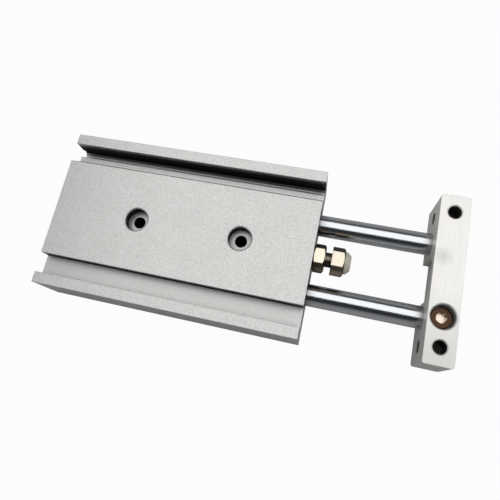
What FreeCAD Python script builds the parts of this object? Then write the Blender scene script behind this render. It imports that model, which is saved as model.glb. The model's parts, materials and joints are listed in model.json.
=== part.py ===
import FreeCAD, Part
import Sketcher
import os
import re

# Guided pneumatic cylinder: two rods side by side in one extruded body, joined by an end plate.
#
# Frame: the origin is on the flat base, midway between the two mounting holes.
# +X runs along the rods towards the end plate, +Y towards the side with the air ports
# and the sensor slot, +Z up out of the face with the counterbored holes.
# The rods stand at the end of their outward stroke.

doc = FreeCAD.newDocument("guided_cylinder")

SIZES = [
    # extruded body
    ("body_length", 75.0), ("body_width", 46.0), ("body_height", 17.0),
    ("rail_width", 3.0), ("centre_width", 28.6),
    ("groove_depth", 4.4), ("ledge_depth", 5.2), ("slope_run", 2.0),
    ("slot_width", 2.4), ("slot_depth", 8.0), ("slot_undercut", 0.3),
    ("edge_break", 0.25),
    # fixing holes through the body
    ("hole_spacing", 30.0), ("hole_to_front", 20.0), ("hole_diameter", 3.4),
    ("counterbore_diameter", 6.5), ("counterbore_depth", 3.3), ("hole_break", 0.3),
    # bores and what closes them
    ("rod_pitch", 20.0), ("axis_height", 8.5), ("bore_diameter", 10.0),
    ("ring_recess", 1.2), ("ring_thickness", 1.0), ("ring_groove_depth", 0.3),
    ("ring_band", 0.9), ("ring_gap", 2.6), ("ring_lug", 1.7), ("ring_lug_hole", 0.9),
    ("rod_cover_length", 12.0), ("seal_section", 1.2), ("seal_length", 3.0), ("seal_recess", 0.3),
    ("plug_recess", 0.5), ("plug_length", 9.7), ("cushion_diameter", 8.2),
    # air ports
    ("port_diameter", 4.2), ("port_depth", 6.0), ("port_height", 5.0), ("port_gap", 1.3),
    ("passage_diameter", 1.6),
    # rods and pistons
    ("rod_diameter", 6.0), ("piston_length", 25.0), ("piston_gap", 2.8),
    # end plate
    ("plate_gap", 30.0), ("plate_thickness", 7.5), ("plate_width", 44.0), ("plate_height", 16.0),
    ("plate_lift", 0.5), ("plate_corner", 0.6), ("plate_hole_spacing", 35.0),
    ("plate_hole_diameter", 3.4), ("plate_hole_depth", 6.0), ("relief_width", 12.0), ("relief_depth", 1.5),
    ("relief_height", 13.5), ("relief_corner", 2.5),
    ("cross_rod_inset", 6.0), ("end_rod_inset", 2.8),
    # socket head screws that hold the plate on the rods
    ("screw_diameter", 3.0), ("screw_head_diameter", 5.5), ("screw_head_height", 3.0),
    ("screw_socket", 2.5), ("screw_socket_depth", 1.4), ("screw_counterbore", 6.2),
    ("end_screw_length", 8.0), ("cross_screw_length", 5.0), ("cross_head_height", 2.0),
    ("cross_head_recess", 2.4),
    # adjustable stop between the rods
    ("stop_thread", 4.0), ("stop_shank_length", 16.0), ("stop_hex", 7.0),
    ("stop_head_height", 3.5), ("lock_nut_height", 3.2), ("stop_setting", 4.9),
    ("stop_hole_depth", 14.0), ("stop_height", 11.0), ("bumper_diameter", 6.0),
    ("bumper_proud", 1.6), ("bumper_seat_depth", 1.8), ("bumper_dome", 1.0), ("hex_bevel", 0.45),
    # fits, all on the radius
    ("running_fit", 0.05), ("rod_fit", 0.03), ("seal_fit", 0.02), ("seated_fit", 0.02),
]

sheet = doc.addObject("Spreadsheet::Sheet", "Sizes")
for row, (alias, value) in enumerate(SIZES, start=1):
    sheet.set("A%d" % row, alias)
    sheet.set("B%d" % row, str(value))
    sheet.setAlias("B%d" % row, alias)
doc.recompute()

ALIAS = re.compile(r"\b(" + "|".join(alias for alias, value in SIZES) + r")\b")

# stations along X and heights that several pieces share
FRONT = "(hole_spacing / 2 + hole_to_front)"
REAR = "(%s - body_length)" % FRONT
COVER_FRONT = "(%s - ring_recess - ring_thickness)" % FRONT
COVER_BACK = "(%s - rod_cover_length)" % COVER_FRONT
PLUG_BACK = "(%s + plug_recess)" % REAR
PLUG_FRONT = "(%s + plug_length)" % PLUG_BACK
PISTON_FRONT = "(%s - piston_gap)" % COVER_BACK
PLATE_BACK = "(%s + plate_gap)" % FRONT
PLATE_FRONT = "(%s + plate_thickness)" % PLATE_BACK
PLATE_MIDDLE = "(%s + plate_thickness / 2)" % PLATE_BACK
PLATE_TOP = "(plate_lift + plate_height)"
CROSS_SEAT = "(%s - cross_head_recess - cross_head_height)" % PLATE_TOP
RAIL_INSIDE = "(body_width / 2 - rail_width)"
STOP_FACE = "(%s + stop_setting)" % FRONT
BORE_SEAT = "(bore_diameter / 2 - seated_fit)"
SIDES = (("far", "rod_pitch / 2"), ("near", "-rod_pitch / 2"))

nodes = []


def bound(text):
    """The expression with every size read from the sheet."""
    return ALIAS.sub(r"Sizes.\1", text)


def number(text):
    """The value that an expression has now, in millimetres."""
    return float(sheet.evalExpression(bound(text).replace("Sizes.", "")))


def place(thing, x="0", y="0", z="0"):
    """Tie an object's place to expressions."""
    for axis, text in (("x", x), ("y", y), ("z", z)):
        thing.setExpression("Placement.Base." + axis, bound(text))
    return thing


def new_body(name, x="0", y="0", z="0"):
    """A PartDesign body that becomes one node."""
    body = doc.addObject("PartDesign::Body", name)
    body.Label = name
    place(body, x, y, z)
    nodes.append(body)
    return body


def new_sketch(body, name, plane, offset="0"):
    """An empty sketch on one of the body's own origin planes."""
    sketch = body.newObject("Sketcher::SketchObject", body.Name + "_" + name)
    support = [f for f in body.Origin.OriginFeatures if f.Role == plane][0]
    sketch.AttachmentSupport = [(support, "")]
    sketch.MapMode = "FlatFace"
    sketch.setExpression("AttachmentOffset.Base.z", bound(offset))
    return sketch


def pin(sketch, edge, end, across, up):
    """Hold one point of a sketch at two expressions."""
    for kind, text, axis in (("DistanceX", across, -2), ("DistanceY", up, -1)):
        if text == "0":
            sketch.addConstraint(Sketcher.Constraint("PointOnObject", edge, end, axis))
        else:
            row = sketch.addConstraint(Sketcher.Constraint(kind, -1, 1, edge, end, number(text)))
            sketch.setExpression("Constraints[%d]" % row, bound(text))


def outline(sketch, corners):
    """A closed outline of straight edges through the corners."""
    spots = [FreeCAD.Vector(number(u), number(v), 0) for u, v in corners]
    first = sketch.GeometryCount
    count = len(spots)
    for i in range(count):
        sketch.addGeometry(Part.LineSegment(spots[i], spots[(i + 1) % count]))
    for i in range(count):
        sketch.addConstraint(
            Sketcher.Constraint("Coincident", first + i, 2, first + (i + 1) % count, 1))
    for i, (u, v) in enumerate(corners):
        pin(sketch, first + i, 1, u, v)
    return sketch


def circle(sketch, across, up, diameter):
    """A full circle with its centre and diameter tied to expressions."""
    centre = FreeCAD.Vector(number(across), number(up), 0)
    edge = sketch.addGeometry(
        Part.Circle(centre, FreeCAD.Vector(0, 0, 1), number(diameter) / 2))
    pin(sketch, edge, 3, across, up)
    row = sketch.addConstraint(Sketcher.Constraint("Diameter", edge, number(diameter)))
    sketch.setExpression("Constraints[%d]" % row, bound(diameter))
    return sketch


def box_corners(low_u, low_v, high_u, high_v):
    """The four corners of an upright rectangle."""
    return [(low_u, low_v), (high_u, low_v), (high_u, high_v), (low_u, high_v)]


def pad(body, sketch, length, name="pad"):
    """Material raised from a sketch along its normal."""
    feature = body.newObject("PartDesign::Pad", body.Name + "_" + name)
    feature.Profile = sketch
    feature.setExpression("Length", bound(length))
    doc.recompute()
    return feature


def pocket(body, sketch, length, name, upward=False):
    """Material cut away from a sketch, against its normal unless it is said to go upward."""
    before = body.Shape.Volume
    feature = body.newObject("PartDesign::Pocket", body.Name + "_" + name)
    feature.Profile = sketch
    feature.Reversed = upward
    feature.setExpression("Length", bound(length))
    doc.recompute()
    if body.Shape.Volume >= before:
        raise RuntimeError(feature.Name + " cuts nothing")
    return feature


def turned(body, corners, name="turn"):
    """A solid of revolution about X: the corners are (along X, radius)."""
    sketch = outline(new_sketch(body, name + "_profile", "XY_Plane"), corners)
    feature = body.newObject("PartDesign::Revolution", body.Name + "_" + name)
    feature.Profile = sketch
    feature.ReferenceAxis = (sketch, ["H_Axis"])
    feature.Angle = 360
    doc.recompute()
    return feature


def turned_cut(body, corners, name):
    """A groove of revolution about X."""
    before = body.Shape.Volume
    sketch = outline(new_sketch(body, name + "_profile", "XY_Plane"), corners)
    feature = body.newObject("PartDesign::Groove", body.Name + "_" + name)
    feature.Profile = sketch
    feature.ReferenceAxis = (sketch, ["H_Axis"])
    feature.Angle = 360
    doc.recompute()
    if body.Shape.Volume >= before:
        raise RuntimeError(feature.Name + " cuts nothing")
    return feature


def ring_corners(start, end, inner, outer):
    """Profile of a plain ring between two stations and two radii."""
    return [(start, inner), (end, inner), (end, outer), (start, outer)]


def hexagon(across_flats):
    """Corners of a hexagon with one flat on top."""
    corner = "(%s) / sqrt(3)" % across_flats
    half = "(%s) / 2" % across_flats
    return [("-" + corner, "0"), ("-" + corner + " / 2", "-" + half),
            (corner + " / 2", "-" + half), (corner, "0"),
            (corner + " / 2", half), ("-" + corner + " / 2", half)]


def octagon(across, up, diameter):
    """Corners of an octagon, a small hole or lug drawn with eight flats."""
    half = "(%s) / 2" % diameter
    corner = half + " * (sqrt(2) - 1)"
    turns = ((half, corner), (corner, half), ("-" + corner, half), ("-" + half, corner),
             ("-" + half, "-" + corner), ("-" + corner, "-" + half), (corner, "-" + half),
             (half, "-" + corner))
    return [("%s + (%s)" % (across, u), "%s + (%s)" % (up, v)) for u, v in turns]


def edges_at(shape, test):
    """Names of the edges whose two ends and middle all pass the test."""
    names = []
    for i, edge in enumerate(shape.Edges, start=1):
        low, high = edge.ParameterRange
        spots = [edge.valueAt(low), edge.valueAt((low + high) / 2), edge.valueAt(high)]
        if all(test(spot) for spot in spots):
            names.append("Edge%d" % i)
    return names


def dress(body, kind, name, measure, size, names):
    """A fillet or chamfer of one size on named edges of the body so far."""
    base = body.Tip
    feature = body.newObject("PartDesign::" + kind, body.Name + "_" + name)
    feature.Base = (base, names)
    feature.setExpression(measure, bound(size))
    body.Tip = feature
    doc.recompute()
    return feature


# ---------------------------------------------------------------------- extruded body


def make_cylinder_body():
    body = new_body("cylinder_body")
    ledge = "(body_height - ledge_depth)"
    floor = "(body_height - groove_depth)"
    half = "body_width / 2"
    section = new_sketch(body, "section", "YZ_Plane", REAR)
    outline(section, [
        ("-" + half, "0"), (half, "0"), (half, "body_height"),
        (RAIL_INSIDE, "body_height"), (RAIL_INSIDE, ledge),
        ("centre_width / 2 + slope_run", ledge), ("centre_width / 2", "body_height"),
        ("-centre_width / 2", "body_height"), ("-centre_width / 2", floor),
        ("-" + RAIL_INSIDE, floor), ("-" + RAIL_INSIDE, "body_height"),
        ("-" + half, "body_height")])
    pad(body, section, "body_length")

    # sensor slot with a round bottom, beside the far rail
    slot_middle = RAIL_INSIDE + " + slot_undercut - slot_width / 2"
    slot_centre = "body_height - slot_depth + slot_width / 2"
    slot = new_sketch(body, "slot", "YZ_Plane", REAR)
    outline(slot, box_corners(slot_middle + " - slot_width / 2", slot_centre,
                              slot_middle + " + slot_width / 2", ledge))
    pocket(body, slot, "body_length", "slot_walls", upward=True)
    round_bottom = new_sketch(body, "slot_bottom", "YZ_Plane", REAR)
    circle(round_bottom, slot_middle, slot_centre, "slot_width")
    pocket(body, round_bottom, "body_length", "slot_round", upward=True)

    # twin bores right through, with a groove near the front for each retaining ring
    cuts = (("bore", REAR, "bore_diameter", "body_length"),
            ("groove", COVER_FRONT, "bore_diameter + 2 * ring_groove_depth", "ring_thickness"))
    for name, start, diameter, length in cuts:
        sketch = new_sketch(body, name, "YZ_Plane", start)
        for side, across in SIDES:
            circle(sketch, across, "axis_height", diameter)
        pocket(body, sketch, length, name + "_cut", upward=True)

    # fixing holes, counterbored from above
    for name, level, diameter, depth in (
            ("holes", "body_height", "hole_diameter", "body_height"),
            ("counterbores", "body_height", "counterbore_diameter", "counterbore_depth")):
        sketch = new_sketch(body, name, "XY_Plane", level)
        circle(sketch, "hole_spacing / 2", "0", diameter)
        circle(sketch, "-hole_spacing / 2", "0", diameter)
        pocket(body, sketch, depth, name + "_cut")

    # threaded hole for the stop bolt
    stop = new_sketch(body, "stop_hole", "YZ_Plane", FRONT)
    circle(stop, "0", "stop_height", "stop_thread + 2 * running_fit")
    pocket(body, stop, "stop_hole_depth", "stop_hole_cut")

    # air ports in the far side, each with one passage across both bores
    stations = (("front_port", "%s - port_gap" % COVER_BACK),
                ("rear_port", "%s + port_gap" % PLUG_FRONT))
    for name, along in stations:
        thread = circle(new_sketch(body, name + "_thread", "XZ_Plane", "-body_width / 2"),
                        along, "port_height", "port_diameter")
        pocket(body, thread, "port_depth", name + "_thread_cut", upward=True)
        passage = outline(new_sketch(body, name + "_passage", "XZ_Plane", "-body_width / 2"),
                          octagon(along, "port_height", "passage_diameter"))
        pocket(body, passage, "body_width / 2 + rod_pitch / 2", name + "_passage_cut",
               upward=True)

    top = number("body_height")
    reach = number("counterbore_diameter") / 2
    spots = [number("hole_spacing / 2"), -number("hole_spacing / 2")]

    def on_counterbore(spot):
        near = [abs(((spot.x - x) ** 2 + spot.y ** 2) ** 0.5 - reach) < 0.01 for x in spots]
        return abs(spot.z - top) < 0.01 and any(near)

    dress(body, "Chamfer", "counterbore_break", "Size", "hole_break",
          edges_at(body.Shape, on_counterbore))
    return body


# ---------------------------------------------------------------------- what closes the bores


def make_front_pieces(side, across):
    """Rod cover, the rod seal seated in it and the cushion that stops the piston."""
    bushing = "rod_diameter / 2 + rod_fit"
    seat = "rod_diameter / 2 + seal_section"
    seal_end = "rod_cover_length - seal_length - seal_recess"
    cover = new_body("rod_cover_" + side, COVER_BACK, across, "axis_height")
    turned(cover, [
        ("0", bushing), (seal_end, bushing), (seal_end, seat), ("rod_cover_length", seat),
        ("rod_cover_length", BORE_SEAT), ("0", BORE_SEAT)])

    seal = new_body("rod_seal_" + side, COVER_FRONT, across, "axis_height")
    turned(seal, ring_corners("-seal_recess - seal_length + seated_fit", "-seal_recess",
                              "rod_diameter / 2 + seal_fit", seat + " - seated_fit"))

    cushion = new_body("front_cushion_" + side, COVER_BACK, across, "axis_height")
    turned(cushion, ring_corners("-piston_gap + running_fit", "0", bushing + " + running_fit",
                                 "cushion_diameter / 2"))


def make_rear_pieces(side, across):
    """Plug at the back of one bore and the cushion on it."""
    plug = new_body("rear_plug_" + side, PLUG_BACK, across, "axis_height")
    turned(plug, [("0", "0"), ("plug_length", "0"), ("plug_length", BORE_SEAT),
                  ("0", BORE_SEAT)])
    cushion = new_body("rear_cushion_" + side, PLUG_FRONT, across, "axis_height")
    turned(cushion, [("0", "0"), ("piston_gap - running_fit", "0"),
                     ("piston_gap - running_fit", "cushion_diameter / 2"),
                     ("0", "cushion_diameter / 2")])


def make_retaining_ring(side, across):
    """An internal retaining ring: an open band with two lugs that plier tips enter."""
    body = new_body("front_ring_" + side, COVER_FRONT, across, "axis_height")
    outer = "(bore_diameter / 2 + ring_groove_depth - seated_fit)"
    sketch = new_sketch(body, "band", "YZ_Plane")
    circle(sketch, "0", "0", "2 * " + outer)
    circle(sketch, "0", "0", "2 * (%s - ring_band)" % outer)
    pad(body, sketch, "ring_thickness - seated_fit", "band_pad")
    gap = new_sketch(body, "gap", "YZ_Plane")
    outline(gap, box_corners("-ring_gap / 2", "-%s - ring_band" % outer, "ring_gap / 2", "0"))
    pocket(body, gap, "ring_thickness", "gap_cut", upward=True)
    lug_height = "-%s + ring_lug / 2 + ring_band / 2 + seated_fit" % outer
    for word, sign in (("left", "-"), ("right", "")):
        lug_across = sign + "(ring_gap / 2 + ring_lug / 4)"
        lug = outline(new_sketch(body, "lug_" + word, "YZ_Plane"),
                      octagon(lug_across, lug_height, "ring_lug"))
        pad(body, lug, "ring_thickness - seated_fit", "lug_pad_" + word)
        hole = outline(new_sketch(body, "lug_hole_" + word, "YZ_Plane"),
                       octagon(lug_across, lug_height, "ring_lug_hole"))
        pocket(body, hole, "ring_thickness", "lug_hole_cut_" + word, upward=True)


# ---------------------------------------------------------------------- rods and pistons


def make_rod(side, across, inset):
    """A ground rod from the back of its piston into its socket in the end plate."""
    reach = "%s + %s - %s" % (PLATE_BACK, inset, PISTON_FRONT)
    rod = new_body("rod_" + side, PISTON_FRONT, across, "axis_height")
    turned(rod, [("-piston_length", "0"), (reach, "0"), (reach, "rod_diameter / 2"),
                 ("-piston_length", "rod_diameter / 2")])
    return rod


def make_piston(side, across):
    """Piston fixed on the end of its rod and running in its bore."""
    piston = new_body("piston_" + side, PISTON_FRONT, across, "axis_height")
    turned(piston, ring_corners("-piston_length", "0", "rod_diameter / 2 + seated_fit",
                                "bore_diameter / 2 - running_fit"))


# ---------------------------------------------------------------------- end plate


def make_end_plate():
    plate = new_body("end_plate")
    half = "plate_width / 2"
    face = new_sketch(plate, "face", "YZ_Plane", PLATE_BACK)
    outline(face, box_corners("-" + half, "plate_lift", half, PLATE_TOP))
    pad(plate, face, "plate_thickness")

    tall = number("plate_height")

    def on_upright(spot):
        ends = abs(abs(spot.y) - number(half)) < 0.01
        return ends and abs(spot.x - number(PLATE_FRONT)) < 0.01 or (
            ends and abs(spot.x - number(PLATE_BACK)) < 0.01)

    # four upright corners are softened, so only edges of the full height count
    names = [n for n in edges_at(plate.Shape, on_upright)
             if abs(plate.Shape.getElement(n).Length - tall) < 0.01]
    dress(plate, "Fillet", "corners", "Radius", "plate_corner", names)

    # relief in the back face, open below, where the stop bolt's head comes
    relief = new_sketch(plate, "relief", "YZ_Plane", PLATE_BACK)
    outline(relief, [
        ("-relief_width / 2", "plate_lift"), ("relief_width / 2", "plate_lift"),
        ("relief_width / 2", "plate_lift + relief_height - relief_corner"),
        ("relief_width / 2 - relief_corner", "plate_lift + relief_height"),
        ("-relief_width / 2 + relief_corner", "plate_lift + relief_height"),
        ("-relief_width / 2", "plate_lift + relief_height - relief_corner")])
    pocket(plate, relief, "relief_depth", "relief_cut", upward=True)

    # rod sockets from the back
    for side, across, inset in (("far", "rod_pitch / 2", "end_rod_inset"),
                                ("near", "-rod_pitch / 2", "cross_rod_inset")):
        socket = new_sketch(plate, "socket_" + side, "YZ_Plane", PLATE_BACK)
        circle(socket, across, "axis_height", "rod_diameter + 2 * seated_fit")
        pocket(plate, socket, inset + " + seated_fit", "socket_cut_" + side, upward=True)

    # threaded holes for the load: two down from the top, two through along the rods
    upright = new_sketch(plate, "upright_holes", "XY_Plane", PLATE_TOP)
    along = new_sketch(plate, "face_holes", "YZ_Plane", PLATE_BACK)
    for sign in ("", "-"):
        circle(upright, PLATE_MIDDLE, sign + "plate_hole_spacing / 2", "plate_hole_diameter")
        circle(along, sign + "plate_hole_spacing / 2", "axis_height", "plate_hole_diameter")
    pocket(plate, upright, "plate_hole_depth", "upright_cut")
    pocket(plate, along, "plate_thickness", "face_cut", upward=True)

    # counterbored hole for the screw that goes down into the near rod
    for step, diameter, depth in (
            ("cross_seat", "screw_counterbore", "cross_head_recess + cross_head_height"),
            ("cross_hole", "screw_diameter + 2 * seated_fit", PLATE_TOP + " - axis_height")):
        sketch = new_sketch(plate, step, "XY_Plane", PLATE_TOP)
        circle(sketch, PLATE_MIDDLE, "-rod_pitch / 2", diameter)
        pocket(plate, sketch, depth, step + "_cut")

    # counterbored hole for the screw in the end of the far rod
    for step, diameter, depth in (
            ("end_seat", "screw_counterbore", "screw_head_height + seated_fit"),
            ("end_hole", "screw_diameter + 2 * seated_fit", "plate_thickness")):
        sketch = new_sketch(plate, step, "YZ_Plane", PLATE_FRONT)
        circle(sketch, "rod_pitch / 2", "axis_height", diameter)
        pocket(plate, sketch, depth, step + "_cut")

    top = number(PLATE_TOP)
    middle = number(PLATE_MIDDLE)

    def on_mouth(spot):
        if abs(spot.z - top) > 0.01:
            return False
        for y, radius in ((number("plate_hole_spacing / 2"), number("plate_hole_diameter / 2")),
                          (-number("plate_hole_spacing / 2"), number("plate_hole_diameter / 2")),
                          (-number("rod_pitch / 2"), number("screw_counterbore / 2"))):
            if abs(((spot.x - middle) ** 2 + (spot.y - y) ** 2) ** 0.5 - radius) < 0.01:
                return True
        return False

    dress(plate, "Chamfer", "mouth_break", "Size", "hole_break", edges_at(plate.Shape, on_mouth))


def socket_screw(name, length, head_height, x, y, z):
    """A socket head screw along +X with its head's seat at local zero."""
    screw = new_body(name, x, y, z)
    head = "screw_head_diameter / 2"
    turned(screw, [
        ("-(%s)" % length, "0"), (head_height, "0"), (head_height, head + " - edge_break"),
        (head_height + " - edge_break", head), ("0", head), ("0", "screw_diameter / 2"),
        ("-(%s)" % length, "screw_diameter / 2")])
    socket = outline(new_sketch(screw, "socket", "YZ_Plane", head_height),
                     hexagon("screw_socket"))
    pocket(screw, socket, "screw_socket_depth", "socket_cut")
    return screw


# ---------------------------------------------------------------------- adjustable stop


def hex_chamfers(body, height, faces):
    """The 30 degree chamfers that turn the corners of a hexagon at one face or at both."""
    corner = "stop_hex / sqrt(3)"
    inside = corner + " - hex_bevel * sqrt(3)"
    ends = {"outer": (height, " + ", " - "), "inner": ("0", " - ", " + ")}
    for name in faces:
        face, outward, inward = ends[name]
        beyond = face + outward + "hex_bevel"
        turned_cut(body, [(face, inside), (beyond, inside), (beyond, corner + " + hex_bevel"),
                          (face + inward + "hex_bevel", corner + " + hex_bevel"),
                          (face + inward + "hex_bevel", corner)], name + "_chamfer")


def make_stop():
    bolt = new_body("stop_bolt", STOP_FACE, "0", "stop_height")
    head = outline(new_sketch(bolt, "head", "YZ_Plane"), hexagon("stop_hex"))
    pad(bolt, head, "stop_head_height", "head_pad")
    hex_chamfers(bolt, "stop_head_height", ["outer"])
    shank = circle(new_sketch(bolt, "shank", "YZ_Plane", "-stop_shank_length"),
                   "0", "0", "stop_thread")
    pad(bolt, shank, "stop_shank_length", "shank_pad")
    seat = circle(new_sketch(bolt, "bumper_seat", "YZ_Plane", "stop_head_height"),
                  "0", "0", "bumper_diameter + 2 * seated_fit")
    pocket(bolt, seat, "bumper_seat_depth", "bumper_seat_cut")

    bumper = new_body("stop_bumper", STOP_FACE + " + stop_head_height", "0", "stop_height")
    rim = "bumper_diameter / 2"
    turned(bumper, [
        ("-bumper_seat_depth + seated_fit", "0"), ("bumper_proud", "0"),
        ("bumper_proud", rim + " - bumper_dome"), ("bumper_proud - bumper_dome", rim),
        ("-bumper_seat_depth + seated_fit", rim)])

    nut = new_body("lock_nut", FRONT, "0", "stop_height")
    sketch = outline(new_sketch(nut, "hex", "YZ_Plane"), hexagon("stop_hex"))
    circle(sketch, "0", "0", "stop_thread + 2 * running_fit")
    pad(nut, sketch, "lock_nut_height")
    hex_chamfers(nut, "lock_nut_height", ["outer", "inner"])


# ---------------------------------------------------------------------- assembly

make_cylinder_body()
for side, across in SIDES:
    make_front_pieces(side, across)
    make_rear_pieces(side, across)
    make_retaining_ring(side, across)
    make_piston(side, across)
far_rod = make_rod("far", "rod_pitch / 2", "end_rod_inset")
near_rod = make_rod("near", "-rod_pitch / 2", "cross_rod_inset")
make_end_plate()
make_stop()
socket_screw("rod_end_screw", "end_screw_length", "screw_head_height",
             PLATE_FRONT + " - screw_head_height - seated_fit", "rod_pitch / 2", "axis_height")
cross_screw = socket_screw("rod_cross_screw", "cross_screw_length", "cross_head_height",
                           PLATE_MIDDLE, "-rod_pitch / 2", CROSS_SEAT)
cross_screw.Placement = FreeCAD.Placement(
    cross_screw.Placement.Base, FreeCAD.Rotation(FreeCAD.Vector(0, 1, 0), -90))

# the near rod is tapped from above for its screw, and the far rod in its end
cross = circle(new_sketch(near_rod, "cross_hole", "XY_Plane", "rod_diameter"),
               "%s - %s" % (PLATE_MIDDLE, PISTON_FRONT), "0", "screw_diameter + 2 * seated_fit")
pocket(near_rod, cross, "rod_diameter - (%s - axis_height) + cross_screw_length + seated_fit" % (
    CROSS_SEAT), "cross_hole_cut")
tapped = circle(new_sketch(far_rod, "end_hole", "YZ_Plane", "%s + end_rod_inset - %s" % (
    PLATE_BACK, PISTON_FRONT)), "0", "0", "screw_diameter + 2 * seated_fit")
pocket(far_rod, tapped, "end_screw_length", "end_hole_cut")

doc.recompute()
for thing in doc.Objects:
    if "Invalid" in thing.State or "Error" in thing.State:
        raise RuntimeError("%s did not compute: %s" % (thing.Name, thing.State))
for node in nodes:
    if node.Shape.isNull() or not node.Shape.isValid() or node.Shape.Volume <= 0:
        raise RuntimeError(node.Label + " has no valid shape")

os.makedirs("parts", exist_ok=True)
for node in nodes:
    node.Shape.exportStep("parts/%s.step" % node.Label)
    print("%-22s %2d solid %9.2f mm3" % (node.Label, len(node.Shape.Solids), node.Shape.Volume))
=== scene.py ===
import bpy
import bmesh
import json
import math
from mathutils import Matrix, Vector


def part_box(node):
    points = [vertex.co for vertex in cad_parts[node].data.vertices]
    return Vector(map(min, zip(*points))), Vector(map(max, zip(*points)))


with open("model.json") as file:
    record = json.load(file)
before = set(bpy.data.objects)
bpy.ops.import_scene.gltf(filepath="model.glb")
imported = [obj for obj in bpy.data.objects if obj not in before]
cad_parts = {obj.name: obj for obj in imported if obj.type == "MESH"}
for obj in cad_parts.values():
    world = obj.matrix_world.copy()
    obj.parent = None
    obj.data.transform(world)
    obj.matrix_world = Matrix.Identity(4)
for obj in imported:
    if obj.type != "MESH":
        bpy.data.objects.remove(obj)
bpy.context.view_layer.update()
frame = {"nodes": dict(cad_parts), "record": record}

MM = 0.001
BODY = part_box("cylinder_body")
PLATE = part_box("end_plate")
FLOOR_LEVEL = BODY[0][2]
PLATE_TOP = PLATE[1][2]
PLATE_MIDDLE = (PLATE[0][0] + PLATE[1][0]) / 2
ROD_LEVEL = 8.5 * MM
ROD_OFFSET = 10 * MM

# air ports: their threads, darkened by painted shade, lie further across than PORT_THREAD_END, and nearer
# the same axes cross bare wall
PORTS = [mount["pos_m"] for mount in frame["record"]["mounts"]
         if mount["name"] in ("front_port", "rear_port")]
PORT_REACH = 2.115 * MM
PORT_THREAD_END = 12 * MM
PORT_THREAD_RUNOUT = 1 * MM

# threaded holes of the end plate: two down from its top, 6 mm deep, and two through it along the rods
PLATE_HOLE_OFFSET = 17.5 * MM
PLATE_HOLE_REACH = 1.715 * MM
TOP_HOLES = [(PLATE_MIDDLE, side * PLATE_HOLE_OFFSET, 0.0) for side in (1, -1)]
FRONT_HOLES = [(0.0, side * PLATE_HOLE_OFFSET, ROD_LEVEL) for side in (1, -1)]
TOP_HOLE_FLOOR = PLATE_TOP - 6.5 * MM      # just under the holes' real floors
PLATE_THREAD_PITCH = 0.7 * MM

# the two screws that hold the plate, and the key sockets in their heads
CROSS_SCREW = (PLATE_MIDDLE, -ROD_OFFSET, 0.0)
END_SCREW = (0.0, ROD_OFFSET, ROD_LEVEL)
# the sockets within this reach are painted light, a painted highlight
SOCKET_REACH = 1.3 * MM

# the stop bolt's threaded shank
STOP_AXIS = (0.0, 0.0, 11.0 * MM)
STOP_SHANK_REACH = 2.1 * MM
STOP_THREAD_PITCH = 0.7 * MM

# a faint stain from handling on the plate's top
STAIN = (67.0 * MM, 5.2 * MM, PLATE_TOP)
STAIN_CORE = 0.4 * MM
STAIN_REACH = 2.8 * MM

# a fine grain for the small turned, plated and moulded pieces
SMALL_GRAIN_WIDTH = 0.2 * MM      # their real grain is too fine to show
SMALL_GRAIN_DEPTH = 0.01 * MM
HOLLOW_SHARE = 0.85

# settings that many nodes share
LAYER = {"data_type": "RGBA"}
TINT = {"data_type": "RGBA", "blend_type": "MULTIPLY"}
TIMES = {"operation": "MULTIPLY"}
PLUS = {"operation": "ADD"}
GREATER = {"operation": "MAXIMUM"}
UNSIGNED = {"operation": "ABSOLUTE"}
OWN_WALLS = {"only_local": True, "samples": 6}
EDGE_SAMPLES = {"samples": 4}


# ------------------------------------------------------------------ small helpers


def linear(hex_colour):
    """An sRGB hex colour as linear red, green, blue and alpha."""
    channels = [int(hex_colour[i:i + 2], 16) / 255 for i in (1, 3, 5)]
    return [c / 12.92 if c <= 0.04045 else ((c + 0.055) / 1.055) ** 2.4 for c in channels] + [1.0]


def hollow(hex_colour):
    """The linear colour a little darker, as it looks in the hollows of its grain."""
    return [channel * HOLLOW_SHARE for channel in linear(hex_colour)[:3]] + [1.0]


def add(tree, kind, settings=None, **inputs):
    """A node of that kind with its settings and inputs.

    An input is named as on the node, with _ for a space, or is _ and its number. It takes a link, a number,
    a list of numbers or a hex colour.
    """
    node = tree.nodes.new(kind)
    for name, value in (settings or {}).items():
        setattr(node, name, value)
    for name, value in inputs.items():
        key = int(name[1:]) if name[0] == "_" and name[1:].isdigit() else name.replace("_", " ")
        if isinstance(value, bpy.types.NodeSocket):
            tree.links.new(value, node.inputs[key])
        else:
            node.inputs[key].default_value = linear(value) if isinstance(value, str) else value
    return node


def new_material(name):
    """An empty material and its nodes."""
    material = bpy.data.materials.new(name)
    material.use_nodes = True
    material.node_tree.nodes.clear()
    return material, material.node_tree


# ------------------------------------------------------------------ what several finishes share


def inside_bores(tree, place, centres, axis, reach):
    """1 within that reach of straight axes through the centres, and 0 outside them."""
    across = [0.0 if name == axis else 1.0 for name in "XYZ"]
    inside = None
    for centre in centres:
        gap = add(tree, "ShaderNodeVectorMath", {"operation": "SUBTRACT"}, _0=place, _1=centre).outputs[0]
        flat = add(tree, "ShaderNodeVectorMath", TIMES, _0=gap, _1=across).outputs[0]
        length = add(tree, "ShaderNodeVectorMath", {"operation": "LENGTH"}, _0=flat).outputs["Value"]
        bore = add(tree, "ShaderNodeMath", {"operation": "LESS_THAN"}, _0=length, _1=reach).outputs[0]
        if inside is None:
            inside = bore
        else:
            inside = add(tree, "ShaderNodeMath", GREATER, _0=inside, _1=bore).outputs[0]
    return inside


def crevice_shade(tree, reach, darkest):
    """Painted shade: 1 in the open, and less where the piece's own walls close in, as in a deep groove."""
    openness = add(tree, "ShaderNodeAmbientOcclusion", OWN_WALLS, Distance=reach).outputs["AO"]
    return add(tree, "ShaderNodeMapRange", Value=openness,
               From_Min=0.1, From_Max=0.8, To_Min=darkest, To_Max=1.0).outputs[0]


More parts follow.
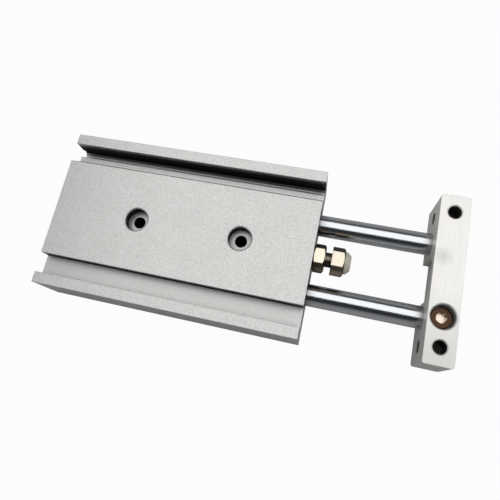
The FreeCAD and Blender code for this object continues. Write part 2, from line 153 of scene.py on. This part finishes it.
def recessed_walls(tree, reach):
    """1 on the upright walls of grooves and holes, where the piece's own walls close in, and 0 elsewhere:
    there shade is painted and roughness raised.
    """
    openness = add(tree, "ShaderNodeAmbientOcclusion", OWN_WALLS, Distance=reach).outputs["AO"]
    closed = add(tree, "ShaderNodeMapRange", Value=openness,
                 From_Min=0.86, From_Max=0.99, To_Min=1.0, To_Max=0.0).outputs[0]
    facing = add(tree, "ShaderNodeTexCoord").outputs["Normal"]
    rise = add(tree, "ShaderNodeSeparateXYZ", Vector=facing).outputs[2]
    level = add(tree, "ShaderNodeMath", UNSIGNED, _0=rise).outputs[0]
    upright = add(tree, "ShaderNodeMapRange", Value=level,
                  From_Min=0.3, From_Max=0.7, To_Min=1.0, To_Max=0.0).outputs[0]
    return add(tree, "ShaderNodeMath", TIMES, _0=closed, _1=upright).outputs[0]


def thread_waves(tree, place, axis, pitch):
    """A wave along the axis, one to a turn of thread."""
    along = add(tree, "ShaderNodeSeparateXYZ", Vector=place).outputs["XYZ".index(axis)]
    turns = add(tree, "ShaderNodeMath", TIMES, _0=along, _1=math.tau / pitch).outputs[0]
    return add(tree, "ShaderNodeMath", {"operation": "SINE"}, _0=turns).outputs[0]


# ------------------------------------------------------------------ finishes


def blasted_anodised_aluminium():
    """Bead-blasted and clear anodised 6063 extrusion.

    It gives a satin grey with an even grain. The upright walls of grooves and holes are rougher and
    darkened by painted shade, and painted shade also darkens the crevices and the ports' threaded bores.
    """
    grain_width = 0.3 * MM      # real blasting leaves about 0.08 mm, which is too fine to show
    grain_depth = 0.03 * MM
    cloud_width = 9 * MM
    edge_radius = 0.16 * MM

    material, tree = new_material("blasted_anodised_aluminium")
    place = add(tree, "ShaderNodeTexCoord").outputs["Object"]
    grain = add(tree, "ShaderNodeTexNoise", Vector=place, Scale=1 / grain_width, Detail=3.0).outputs[0]
    cloud = add(tree, "ShaderNodeTexNoise", Vector=place, Scale=1 / cloud_width).outputs[0]
    tone = add(tree, "ShaderNodeMix", LAYER, Factor=cloud, A="#cac9c7", B="#d2d1cf").outputs["Result"]
    specks = add(tree, "ShaderNodeMapRange", Value=grain,
                 From_Min=0.3, From_Max=0.7, To_Min=0.66, To_Max=1.0).outputs[0]
    grained = add(tree, "ShaderNodeMix", TINT, Factor=0.9, A=tone, B=specks).outputs["Result"]

    # painted shade: the upright walls in grooves and holes are darkened nearly to black, and are also made
    # rougher
    recessed = recessed_walls(tree, reach=5 * MM)
    crevices = crevice_shade(tree, reach=4 * MM, darkest=0.4)
    wall_shade = add(tree, "ShaderNodeMapRange", Value=recessed, To_Min=1.0, To_Max=0.04).outputs[0]
    shade = add(tree, "ShaderNodeMath", TIMES, _0=crevices, _1=wall_shade).outputs[0]
    shaded = add(tree, "ShaderNodeMix", TINT, Factor=1.0, A=grained, B=shade).outputs["Result"]

    # painted shade: the ports' threaded bores are darkened toward a near black
    across = add(tree, "ShaderNodeSeparateXYZ", Vector=place).outputs[1]
    far_side = add(tree, "ShaderNodeMapRange", Value=across,
                   From_Min=PORT_THREAD_END, From_Max=PORT_THREAD_END + PORT_THREAD_RUNOUT).outputs[0]
    ports = inside_bores(tree, place, PORTS, "Y", PORT_REACH)
    threads = add(tree, "ShaderNodeMath", TIMES, _0=ports, _1=far_side).outputs[0]
    painted_thread_shade = add(tree, "ShaderNodeMath", TIMES, _0=threads, _1=0.5).outputs[0]
    colour = add(tree, "ShaderNodeMix", LAYER, Factor=painted_thread_shade, A=shaded, B="#3a3836").outputs["Result"]

    roughness = add(tree, "ShaderNodeMapRange", Value=recessed, To_Min=0.34, To_Max=0.9).outputs[0]
    edges = add(tree, "ShaderNodeBevel", EDGE_SAMPLES, Radius=edge_radius).outputs[0]
    relief = add(tree, "ShaderNodeBump", Height=grain, Strength=0.6, Distance=grain_depth,
                 Normal=edges).outputs[0]
    shader = add(tree, "ShaderNodeBsdfPrincipled", Base_Color=colour, Metallic=0.75, Roughness=roughness,
                 Normal=relief).outputs[0]
    add(tree, "ShaderNodeOutputMaterial", Surface=shader)
    return material


def milled_anodised_aluminium():
    """Milled and clear anodised aluminium plate.

    It gives a paler and smoother grey than the extrusion, with faint milling strokes across the plate, a
    near end darkened by painted shade, painted shade in its crevices, and painted shade on the threads in
    its holes.
    """
    grain_width = 0.3 * MM      # the real grain of anodised metal is too fine to show
    grain_depth = 0.02 * MM
    stroke_width = 0.5 * MM
    stroke_stretch = (1.0, 0.06, 1.0)
    edge_radius = 0.14 * MM
    thread_depth = 0.12 * MM
    near_shade_start = -3 * MM
    near_shade_end = -20 * MM

    material, tree = new_material("milled_anodised_aluminium")
    place = add(tree, "ShaderNodeTexCoord").outputs["Object"]
    grain = add(tree, "ShaderNodeTexNoise", Vector=place, Scale=1 / grain_width).outputs[0]
    stretched = add(tree, "ShaderNodeVectorMath", TIMES, _0=place, _1=stroke_stretch).outputs[0]
    strokes = add(tree, "ShaderNodeTexNoise", Vector=stretched, Scale=1 / stroke_width).outputs[0]
    stroke = add(tree, "ShaderNodeMapRange", Value=strokes, From_Min=0.35, From_Max=0.65).outputs[0]
    milled = add(tree, "ShaderNodeMix", LAYER, Factor=stroke, A="#e2e0dc", B="#e8e6e2").outputs["Result"]

    # painted shade: the plate grows darker toward its near end
    across = add(tree, "ShaderNodeSeparateXYZ", Vector=place).outputs[1]
    near_end_shade = add(tree, "ShaderNodeMapRange", Value=across,
                  From_Min=near_shade_start, From_Max=near_shade_end, To_Min=0.0, To_Max=0.45).outputs[0]
    tone = add(tree, "ShaderNodeMix", LAYER, Factor=near_end_shade, A=milled, B="#b4b3b1").outputs["Result"]

    gap = add(tree, "ShaderNodeVectorMath", {"operation": "DISTANCE"}, _0=place, _1=STAIN).outputs["Value"]
    stain = add(tree, "ShaderNodeMapRange", Value=gap,
                From_Min=STAIN_CORE, From_Max=STAIN_REACH, To_Min=0.3, To_Max=0.0).outputs[0]
    stained = add(tree, "ShaderNodeMix", LAYER, Factor=stain, A=tone, B="#8f8c86").outputs["Result"]
    shade = crevice_shade(tree, reach=3 * MM, darkest=0.3)
    shaded = add(tree, "ShaderNodeMix", TINT, Factor=1.0, A=stained, B=shade).outputs["Result"]

    height = add(tree, "ShaderNodeSeparateXYZ", Vector=place).outputs[2]
    above = add(tree, "ShaderNodeMath", {"operation": "GREATER_THAN"},
                _0=height, _1=TOP_HOLE_FLOOR).outputs[0]
    top_bores = inside_bores(tree, place, TOP_HOLES, "Z", PLATE_HOLE_REACH)
    top_threads = add(tree, "ShaderNodeMath", TIMES, _0=top_bores, _1=above).outputs[0]
    front_threads = inside_bores(tree, place, FRONT_HOLES, "X", PLATE_HOLE_REACH)
    threads = add(tree, "ShaderNodeMath", GREATER, _0=top_threads, _1=front_threads).outputs[0]
    # painted shade: the threaded holes are darkened toward a dark brown; their thread turns are drawn as
    # bump
    painted_thread_shade = add(tree, "ShaderNodeMath", TIMES, _0=threads, _1=0.85).outputs[0]
    colour = add(tree, "ShaderNodeMix", LAYER, Factor=painted_thread_shade, A=shaded, B="#3b342c").outputs["Result"]

    top_waves = thread_waves(tree, place, "Z", PLATE_THREAD_PITCH)
    front_waves = thread_waves(tree, place, "X", PLATE_THREAD_PITCH)
    waves = add(tree, "ShaderNodeMath", PLUS, _0=top_waves, _1=front_waves).outputs[0]
    turns = add(tree, "ShaderNodeMath", TIMES, _0=waves, _1=threads).outputs[0]
    edges = add(tree, "ShaderNodeBevel", EDGE_SAMPLES, Radius=edge_radius).outputs[0]
    cut = add(tree, "ShaderNodeBump", Height=turns, Strength=0.6, Distance=thread_depth,
              Normal=edges).outputs[0]
    relief = add(tree, "ShaderNodeBump", Height=grain, Strength=0.12, Distance=grain_depth,
                 Normal=cut).outputs[0]
    shader = add(tree, "ShaderNodeBsdfPrincipled", Base_Color=colour, Metallic=0.75, Roughness=0.47,
                 Normal=relief).outputs[0]
    add(tree, "ShaderNodeOutputMaterial", Surface=shader)
    return material


def ground_chrome():
    """Hard chrome plate, ground round the rod.

    It gives a cold mirror with hair-fine rings, darkened by painted shade close to other pieces.
    """
    ring_width = 0.15 * MM      # real grinding leaves about 0.02 mm, which is too fine to show
    ring_depth = 0.005 * MM
    contact_shade_reach = 5 * MM

    material, tree = new_material("ground_chrome")
    place = add(tree, "ShaderNodeTexCoord").outputs["Object"]
    along = add(tree, "ShaderNodeSeparateXYZ", Vector=place).outputs[0]
    rings = add(tree, "ShaderNodeTexNoise", {"noise_dimensions": "1D"},
                W=along, Scale=1 / ring_width).outputs[0]
    # painted shade: the rod darkens where other pieces come close
    openness = add(tree, "ShaderNodeAmbientOcclusion", {"samples": 6}, Distance=contact_shade_reach).outputs["AO"]
    contact_shade = add(tree, "ShaderNodeMapRange", Value=openness,
              From_Min=0.3, From_Max=0.75, To_Min=0.1, To_Max=1.0).outputs[0]
    colour = add(tree, "ShaderNodeMix", TINT, Factor=1.0, A="#cdcfd2", B=contact_shade).outputs["Result"]
    relief = add(tree, "ShaderNodeBump", Height=rings, Strength=0.04, Distance=ring_depth).outputs[0]
    shader = add(tree, "ShaderNodeBsdfPrincipled", Base_Color=colour, Metallic=1.0, Roughness=0.19,
                 Normal=relief).outputs[0]
    add(tree, "ShaderNodeOutputMaterial", Surface=shader)
    return material


def yellow_zinc_plated_screw():
    """Yellow zinc plated steel screw.

    It gives a brown head darkened by painted shade, a socket lightened by a painted highlight, and painted
    shade in its crevices.
    """
    edge_radius = 0.1 * MM

    material, tree = new_material("yellow_zinc_plated_screw")
    place = add(tree, "ShaderNodeTexCoord").outputs["Object"]
    grain = add(tree, "ShaderNodeTexNoise", Vector=place, Scale=1 / SMALL_GRAIN_WIDTH).outputs[0]
    # painted shade darkens the head, and a painted highlight lightens the sockets
    shaded_head = add(tree, "ShaderNodeMix", LAYER, Factor=grain, A="#35261c", B="#524032").outputs["Result"]
    lit_socket = add(tree, "ShaderNodeMix", LAYER, Factor=grain, A="#d2c2ae", B="#eee2d4").outputs["Result"]
    cross_socket = inside_bores(tree, place, [CROSS_SCREW], "Z", SOCKET_REACH)
    end_socket = inside_bores(tree, place, [END_SCREW], "X", SOCKET_REACH)
    sockets = add(tree, "ShaderNodeMath", GREATER, _0=cross_socket, _1=end_socket).outputs[0]
    tone = add(tree, "ShaderNodeMix", LAYER, Factor=sockets, A=shaded_head, B=lit_socket).outputs["Result"]
    shade = crevice_shade(tree, reach=1.5 * MM, darkest=0.7)
    colour = add(tree, "ShaderNodeMix", TINT, Factor=1.0, A=tone, B=shade).outputs["Result"]
    edges = add(tree, "ShaderNodeBevel", EDGE_SAMPLES, Radius=edge_radius).outputs[0]
    relief = add(tree, "ShaderNodeBump", Height=grain, Strength=0.15, Distance=SMALL_GRAIN_DEPTH,
                 Normal=edges).outputs[0]
    shader = add(tree, "ShaderNodeBsdfPrincipled", Base_Color=colour, Metallic=1.0, Roughness=0.32,
                 Normal=relief).outputs[0]
    add(tree, "ShaderNodeOutputMaterial", Surface=shader)
    return material


def nickel_plated_steel(name, colour, side_shade, thread_pitch=None):
    """Bright nickel plate over turned steel.

    It gives a warm mirror with soft worn edges. Painted shade darkens the side flats brown and darkens the
    crevices.
    A thread pitch gives the shank its thread.
    """
    edge_radius = 0.45 * MM
    thread_depth = 0.12 * MM

    material, tree = new_material(name)
    place = add(tree, "ShaderNodeTexCoord").outputs["Object"]
    grain = add(tree, "ShaderNodeTexNoise", Vector=place, Scale=1 / SMALL_GRAIN_WIDTH).outputs[0]
    plate = add(tree, "ShaderNodeMix", LAYER, Factor=grain, A=hollow(colour), B=colour).outputs["Result"]
    # painted light and shade: flats facing up keep the bright plate, and other faces take the darker side
    # colour
    facing = add(tree, "ShaderNodeTexCoord").outputs["Normal"]
    rise = add(tree, "ShaderNodeSeparateXYZ", Vector=facing).outputs[2]
    upper = add(tree, "ShaderNodeMapRange", Value=rise, From_Min=0.8, From_Max=0.95).outputs[0]
    side_shaded = add(tree, "ShaderNodeMix", LAYER, Factor=upper, A=side_shade, B=plate).outputs["Result"]
    shade = crevice_shade(tree, reach=2 * MM, darkest=0.25)
    tone = add(tree, "ShaderNodeMix", TINT, Factor=1.0, A=side_shaded, B=shade).outputs["Result"]
    edges = add(tree, "ShaderNodeBevel", EDGE_SAMPLES, Radius=edge_radius).outputs[0]
    relief = add(tree, "ShaderNodeBump", Height=grain, Strength=0.1, Distance=SMALL_GRAIN_DEPTH,
                 Normal=edges).outputs[0]
    if thread_pitch:
        shank = inside_bores(tree, place, [STOP_AXIS], "X", STOP_SHANK_REACH)
        waves = thread_waves(tree, place, "X", thread_pitch)
        turns = add(tree, "ShaderNodeMath", TIMES, _0=waves, _1=shank).outputs[0]
        relief = add(tree, "ShaderNodeBump", Height=turns, Strength=0.8, Distance=thread_depth,
                     Normal=relief).outputs[0]
    shader = add(tree, "ShaderNodeBsdfPrincipled", Base_Color=tone, Metallic=1.0, Roughness=0.2,
                 Normal=relief).outputs[0]
    add(tree, "ShaderNodeOutputMaterial", Surface=shader)
    return material


def fine_grained(name, colour, metallic, roughness, edge_radius=None):
    """A finish of one colour with a fine grain, and eased edges where a radius is given."""
    material, tree = new_material(name)
    place = add(tree, "ShaderNodeTexCoord").outputs["Object"]
    grain = add(tree, "ShaderNodeTexNoise", Vector=place, Scale=1 / SMALL_GRAIN_WIDTH).outputs[0]
    tone = add(tree, "ShaderNodeMix", LAYER, Factor=grain, A=hollow(colour), B=colour).outputs["Result"]
    relief = add(tree, "ShaderNodeBump", Height=grain, Strength=0.1, Distance=SMALL_GRAIN_DEPTH)
    if edge_radius:
        edges = add(tree, "ShaderNodeBevel", EDGE_SAMPLES, Radius=edge_radius).outputs[0]
        tree.links.new(edges, relief.inputs["Normal"])
    shader = add(tree, "ShaderNodeBsdfPrincipled", Base_Color=tone, Metallic=metallic, Roughness=roughness,
                 Normal=relief.outputs[0]).outputs[0]
    add(tree, "ShaderNodeOutputMaterial", Surface=shader)
    return material


BODY_FINISH = blasted_anodised_aluminium()
PLATE_FINISH = milled_anodised_aluminium()
ROD_FINISH = ground_chrome()
SCREW_FINISH = yellow_zinc_plated_screw()
# the bolt's and nut's side flats are painted darker, as painted shade
BOLT_FINISH = nickel_plated_steel("nickel_plated_bolt", "#d9cfbd", side_shade="#6b6152",
                                  thread_pitch=STOP_THREAD_PITCH)
NUT_FINISH = nickel_plated_steel("nickel_plated_nut", "#dfd5c2", side_shade="#5b5246")
# oil-filled sintered bronze: a dull brown yellow with a soft shine
BRONZE = fine_grained("sintered_bearing_bronze", "#9a7b4e", metallic=1.0, roughness=0.38)
# turned aluminium: pale grey with a soft shine and eased edges
TURNED = fine_grained("turned_aluminium", "#c4c4c5", metallic=1.0, roughness=0.33, edge_radius=0.08 * MM)
# moulded nitrile rubber: black and nearly matt
NITRILE = fine_grained("moulded_nitrile_rubber", "#1b1b1b", metallic=0.0, roughness=0.6)
# moulded urethane: cream, with a soft sheen
URETHANE = fine_grained("moulded_urethane", "#c4c1b0", metallic=0.0, roughness=0.45)
# phosphated spring steel: dark grey, with little shine
SPRING = fine_grained("phosphated_spring_steel", "#3a3a3b", metallic=0.8, roughness=0.45)

FINISH_BY_PREFIX = (
    ("cylinder_body", BODY_FINISH), ("end_plate", PLATE_FINISH), ("rod_cover", BRONZE),
    ("rod_seal", NITRILE), ("rod_end_screw", SCREW_FINISH), ("rod_cross_screw", SCREW_FINISH),
    ("rod_", ROD_FINISH), ("front_cushion", URETHANE), ("rear_cushion", URETHANE),
    ("rear_plug", TURNED), ("front_ring", SPRING), ("piston_", TURNED),
    ("stop_bolt", BOLT_FINISH), ("stop_bumper", URETHANE), ("lock_nut", NUT_FINISH))

for node_name, node in frame["nodes"].items():
    finishes = [finish for prefix, finish in FINISH_BY_PREFIX if node_name.startswith(prefix)]
    if not finishes:
        raise RuntimeError("no finish for " + node_name)
    node.data.materials.clear()
    node.data.materials.append(finishes[0])


# ------------------------------------------------------------------ camera, floor and light

# the camera's place is in millimetres from the middle of the body's front face, on the floor
CAMERA_PLACE = (5.19, -35.63, 157.66)
CAMERA_RIGHT = (0.963, 0.2243, -0.1497)
CAMERA_AHEAD = (-0.2107, 0.2791, -0.9369)
CAMERA_LENS = 39.16
CAMERA_SENSOR = 36
CAMERA_SHIFT = (0.0563, -0.0746)
CAMERA_CLIP = 10 * MM

FLOOR_REACH = 2.0
FLOOR_GAP = 0.05 * MM      # keeps the floor clear of the part's flat base
FLOOR_SEEN = 0.97          # share of white that the eye sees; the rest keeps the part's soft shadow
FLOOR_MIRRORED = 0.1       # share of white that reflections see

LAMP_PLACE = (0.18, 0.205, 0.60)
LAMP_LENGTH = 1.16
LAMP_DEPTH = 0.71
LAMP_POWER = 3.95


def make_camera():
    """The camera stands over the near front of the part and looks down at it."""
    right = Vector(CAMERA_RIGHT).normalized()
    ahead = Vector(CAMERA_AHEAD).normalized()
    up = right.cross(ahead)
    turn = Matrix((right, up, -ahead)).transposed().to_4x4()
    data = bpy.data.cameras.new("camera")
    data.lens = CAMERA_LENS
    data.sensor_width = CAMERA_SENSOR
    data.shift_x, data.shift_y = CAMERA_SHIFT
    data.clip_start = CAMERA_CLIP
    camera = bpy.data.objects.new("camera", data)
    place = Vector((BODY[1][0], 0, 0)) + Vector(CAMERA_PLACE) * MM
    camera.matrix_world = Matrix.Translation(place) @ turn
    bpy.context.scene.collection.objects.link(camera)
    bpy.context.scene.camera = camera


def make_floor():
    """A wide matt floor, white to the eye, that keeps the part's soft shadow."""
    mesh = bpy.data.meshes.new("floor")
    form = bmesh.new()
    bmesh.ops.create_grid(form, x_segments=1, y_segments=1, size=FLOOR_REACH)
    form.to_mesh(mesh)
    form.free()
    floor = bpy.data.objects.new("floor", mesh)
    floor.location = (0, 0, FLOOR_LEVEL - FLOOR_GAP)
    bpy.context.scene.collection.objects.link(floor)

    material, tree = new_material("white_floor")
    path = add(tree, "ShaderNodeLightPath")
    mirrored = add(tree, "ShaderNodeMath", GREATER,
                   _0=path.outputs["Is Glossy Ray"], _1=path.outputs["Is Transmission Ray"]).outputs[0]
    faint = add(tree, "ShaderNodeMath", TIMES, _0=mirrored, _1=FLOOR_MIRRORED).outputs[0]
    share = add(tree, "ShaderNodeMath", {"operation": "MULTIPLY_ADD"},
                _0=path.outputs["Is Camera Ray"], _1=FLOOR_SEEN, _2=faint).outputs[0]
    matt = add(tree, "ShaderNodeBsdfDiffuse", Color="#989898").outputs[0]
    glow = add(tree, "ShaderNodeEmission", Color="#ffffff", Strength=1.0).outputs[0]
    mix = add(tree, "ShaderNodeMixShader", Fac=share, _1=matt, _2=glow).outputs[0]
    add(tree, "ShaderNodeOutputMaterial", Surface=mix)
    mesh.materials.append(material)


def make_light():
    """A broad soft box over the far front of the part, in a room that is white to the eye."""
    data = bpy.data.lights.new("soft_box", "AREA")
    data.shape = "RECTANGLE"
    data.size = LAMP_LENGTH
    data.size_y = LAMP_DEPTH
    data.energy = LAMP_POWER
    lamp = bpy.data.objects.new("soft_box", data)
    lamp.location = LAMP_PLACE
    lamp.rotation_euler = Vector((0, 0, -1)).to_track_quat("-Z", "Y").to_euler()
    bpy.context.scene.collection.objects.link(lamp)


def make_room():
    """Pale walls at both ends of the part and dim ones along it, paler toward the floor."""
    world = bpy.data.worlds.new("room")
    bpy.context.scene.world = world
    world.use_nodes = True
    tree = world.node_tree
    tree.nodes.clear()
    direction = add(tree, "ShaderNodeTexCoord").outputs["Generated"]
    way = add(tree, "ShaderNodeSeparateXYZ", Vector=direction)
    lengthwise = add(tree, "ShaderNodeMath", UNSIGNED, _0=way.outputs[0]).outputs[0]
    ends = add(tree, "ShaderNodeMapRange", Value=lengthwise, From_Min=0.25, From_Max=0.7).outputs[0]
    end_glow = add(tree, "ShaderNodeMapRange", Value=way.outputs[2],
                   From_Min=0.3, From_Max=0.85, To_Min=1.15, To_Max=0.0).outputs[0]
    end_walls = add(tree, "ShaderNodeMath", TIMES, _0=end_glow, _1=ends).outputs[0]
    side_walls = add(tree, "ShaderNodeMapRange", Value=way.outputs[2],
                     From_Min=0.2, From_Max=0.6, To_Min=0.4, To_Max=0.035).outputs[0]
    walls = add(tree, "ShaderNodeMath", PLUS, _0=end_walls, _1=side_walls).outputs[0]
    seen = add(tree, "ShaderNodeLightPath").outputs["Is Camera Ray"]
    strength = add(tree, "ShaderNodeMath", GREATER, _0=walls, _1=seen).outputs[0]
    colour = add(tree, "ShaderNodeMix", LAYER, Factor=seen, A="#d8dadc", B="#ffffff").outputs["Result"]
    glow = add(tree, "ShaderNodeBackground", Color=colour, Strength=strength).outputs[0]
    add(tree, "ShaderNodeOutputWorld", Surface=glow)


make_camera()
make_floor()
make_light()
make_room()
bpy.context.scene.view_settings.view_transform = "Standard"
